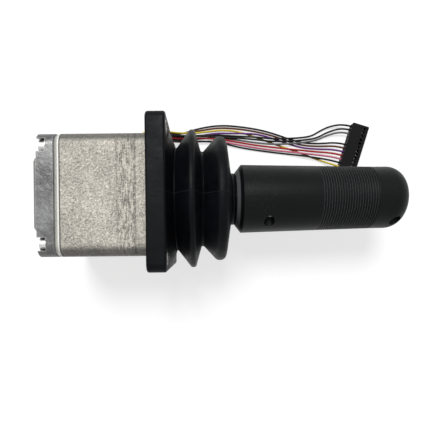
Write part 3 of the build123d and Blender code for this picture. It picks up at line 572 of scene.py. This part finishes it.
def lead_route(column, row, way, free):
    """The route's points, in metres, from the grommet's face into the connector."""
    x = GROMMET.x - (column - MIDDLE_COLUMN) * LEAD_PITCH
    z = GROMMET.z + (row - MIDDLE_ROW) * LEAD_PITCH
    lane = LANE_START + column * LEAD_PITCH
    bend = LANE_BEND + LANE_BEND_STEP * column
    points = [
        (x, GROMMET.y, z),
        (x, lane - bend, z - LANE_DROPS[0]),
        (x + bend + LANE_TURN, lane, z - LANE_DROPS[1]),
        (SKIRT_PASS[0], lane + SKIRT_PASS[1], z - LANE_DROPS[2]),
    ]
    for px, py, under in free:
        points.append((px, py, FLOOR + LEAD_RADIUS + under * LEAD_LAY))
    along = Vector((-math.sin(CONNECTOR_LEAN), -math.cos(CONNECTOR_LEAN), 0))
    across = Vector((0, 0, 1)).cross(along)
    entry = CONNECTOR_TOP + along * (CONNECTOR_END_WALL + (way + 0.5) * WAY_PITCH)
    for out in (-CONNECTOR_HALF_WIDTH - LEAD_STRAIGHT, -CONNECTOR_HALF_WIDTH + LEAD_GRIP):
        points.append(entry + across * out + Vector((0, 0, CONNECTOR_MIDDLE)))
    return [Vector(p) * MM for p in points]


def spline_length(points):
    """Length of the smooth line that a curve draws through these control points."""
    curve = bpy.data.curves.new("measure", "CURVE")
    fill_spline(curve, points)
    holder = bpy.data.objects.new("measure", curve)
    line = bpy.data.meshes.new_from_object(holder)
    places = [v.co.copy() for v in line.vertices]
    bpy.data.objects.remove(holder)
    bpy.data.curves.remove(curve)
    bpy.data.meshes.remove(line)
    return sum((b - a).length for a, b in zip(places, places[1:]))


def fill_spline(curve, points):
    """One smooth open spline with these control points."""
    curve.dimensions = "3D"
    curve.resolution_u = LEAD_STEPS
    spline = curve.splines.new("NURBS")
    spline.points.add(len(points) - 1)
    for target, point in zip(spline.points, points):
        target.co = (*point, 1)
    spline.order_u = LEAD_ORDER
    spline.use_endpoint_u = True


def make_leads():
    """Each lead as one smooth round curve; its length is measured but not used."""
    for name, (column, row, way, free) in LEADS.items():
        points = lead_route(column, row, way, free)
        length = spline_length(points)
        curve = bpy.data.curves.new(name + "_line", "CURVE")
        fill_spline(curve, points)
        curve.bevel_depth = LEAD_RADIUS * MM
        curve.bevel_resolution = LEAD_FACETS
        curve.use_fill_caps = True
        lead = bpy.data.objects.new(name + "_line", curve)
        bpy.context.scene.collection.objects.link(lead)
        dress(lead, slot_of[name])
        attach(lead, "housing")
        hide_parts(name)


make_leads()


# Floor, lights and camera

FLOOR_REACH = 3.0
FLOOR_GAP = 0.00005
FLOOR_TONE = (0.38, 0.38, 0.38)
FLOOR_GLOW = 0.7
SUN_POWER = 2.6
SUN_SPREAD = math.radians(24)
SUN_PLACE = Vector((-0.15, 0.48, 0.86))
WORLD_LIGHT = 0.25
WORLD_SEEN = 1.0


def make_floor():
    """A plain pale sheet under the object, which shows white and keeps the object's shadow."""
    corners = [(x * FLOOR_REACH, y * FLOOR_REACH, FLOOR * MM - FLOOR_GAP)
               for x, y in ((-1, -1), (1, -1), (1, 1), (-1, 1))]
    floor = mesh_piece("floor", corners, [(0, 1, 2, 3)], smooth=False)
    finish = Finish("floor", FLOOR_TONE, 0.95)
    finish.gloss(0.0)
    output = finish.tree.nodes["Material Output"]
    glow = finish.add("ShaderNodeEmission")
    glow.inputs["Color"].default_value = (1, 1, 1, 1)
    path = finish.add("ShaderNodeLightPath").outputs
    seen = finish.math("MAXIMUM", path["Is Camera Ray"], path["Is Glossy Ray"])
    seen = finish.math("MAXIMUM", seen, path["Is Transmission Ray"])
    finish.join(finish.math("MULTIPLY", seen, FLOOR_GLOW), glow.inputs["Strength"])
    both = finish.add("ShaderNodeAddShader")
    finish.join(finish.shader.outputs["BSDF"], both.inputs[0])
    finish.join(glow.outputs["Emission"], both.inputs[1])
    finish.join(both.outputs["Shader"], output.inputs["Surface"])
    floor.data.materials.append(finish.material)


def make_key():
    """One broad light above, towards the leads' side."""
    data = bpy.data.lights.new("key", "SUN")
    data.energy = SUN_POWER
    data.angle = SUN_SPREAD
    lamp = bpy.data.objects.new("key", data)
    lamp.rotation_euler = (-SUN_PLACE).to_track_quat("-Z", "Y").to_euler()
    bpy.context.scene.collection.objects.link(lamp)


def make_world():
    """An even surround, which shows white behind the object."""
    world = bpy.data.worlds.new("surround")
    bpy.context.scene.world = world
    world.use_nodes = True
    tree = world.node_tree
    background = tree.nodes["Background"]
    background.inputs["Color"].default_value = (1, 1, 1, 1)
    path = tree.nodes.new("ShaderNodeLightPath").outputs
    seen = path["Is Camera Ray"]
    for other in ("Is Glossy Ray", "Is Transmission Ray"):
        either = tree.nodes.new("ShaderNodeMath")
        either.operation = "MAXIMUM"
        tree.links.new(seen, either.inputs[0])
        tree.links.new(path[other], either.inputs[1])
        seen = either.outputs["Value"]
    level = tree.nodes.new("ShaderNodeMapRange")
    level.inputs["To Min"].default_value = WORLD_LIGHT
    level.inputs["To Max"].default_value = WORLD_SEEN
    tree.links.new(seen, level.inputs["Value"])
    tree.links.new(level.outputs["Result"], background.inputs["Strength"])


PHOTO_SIDE = 425
FOCAL_PIXELS = 353.5
POINT_BELOW = (199.0, 240.8)
SENSOR = 36.0
CAMERA_PLACE = (0.02458, -0.02324, 0.200)
CAMERA_ROLL = math.radians(-0.667)
CAMERA_NEAR = 0.01


def make_camera():
    """Straight down from 200 mm, with the frame shifted as the photograph has it."""
    data = bpy.data.cameras.new("camera")
    data.sensor_width = SENSOR
    data.lens = FOCAL_PIXELS / PHOTO_SIDE * SENSOR
    data.shift_x = (PHOTO_SIDE / 2 - POINT_BELOW[0]) / PHOTO_SIDE
    data.shift_y = (POINT_BELOW[1] - PHOTO_SIDE / 2) / PHOTO_SIDE
    data.clip_start = CAMERA_NEAR
    camera = bpy.data.objects.new("camera", data)
    camera.location = CAMERA_PLACE
    camera.rotation_euler = (0, 0, CAMERA_ROLL)
    bpy.context.scene.collection.objects.link(camera)
    bpy.context.scene.camera = camera


make_floor()
make_world()
make_key()
make_camera()
bpy.context.scene.view_settings.view_transform = "Standard"
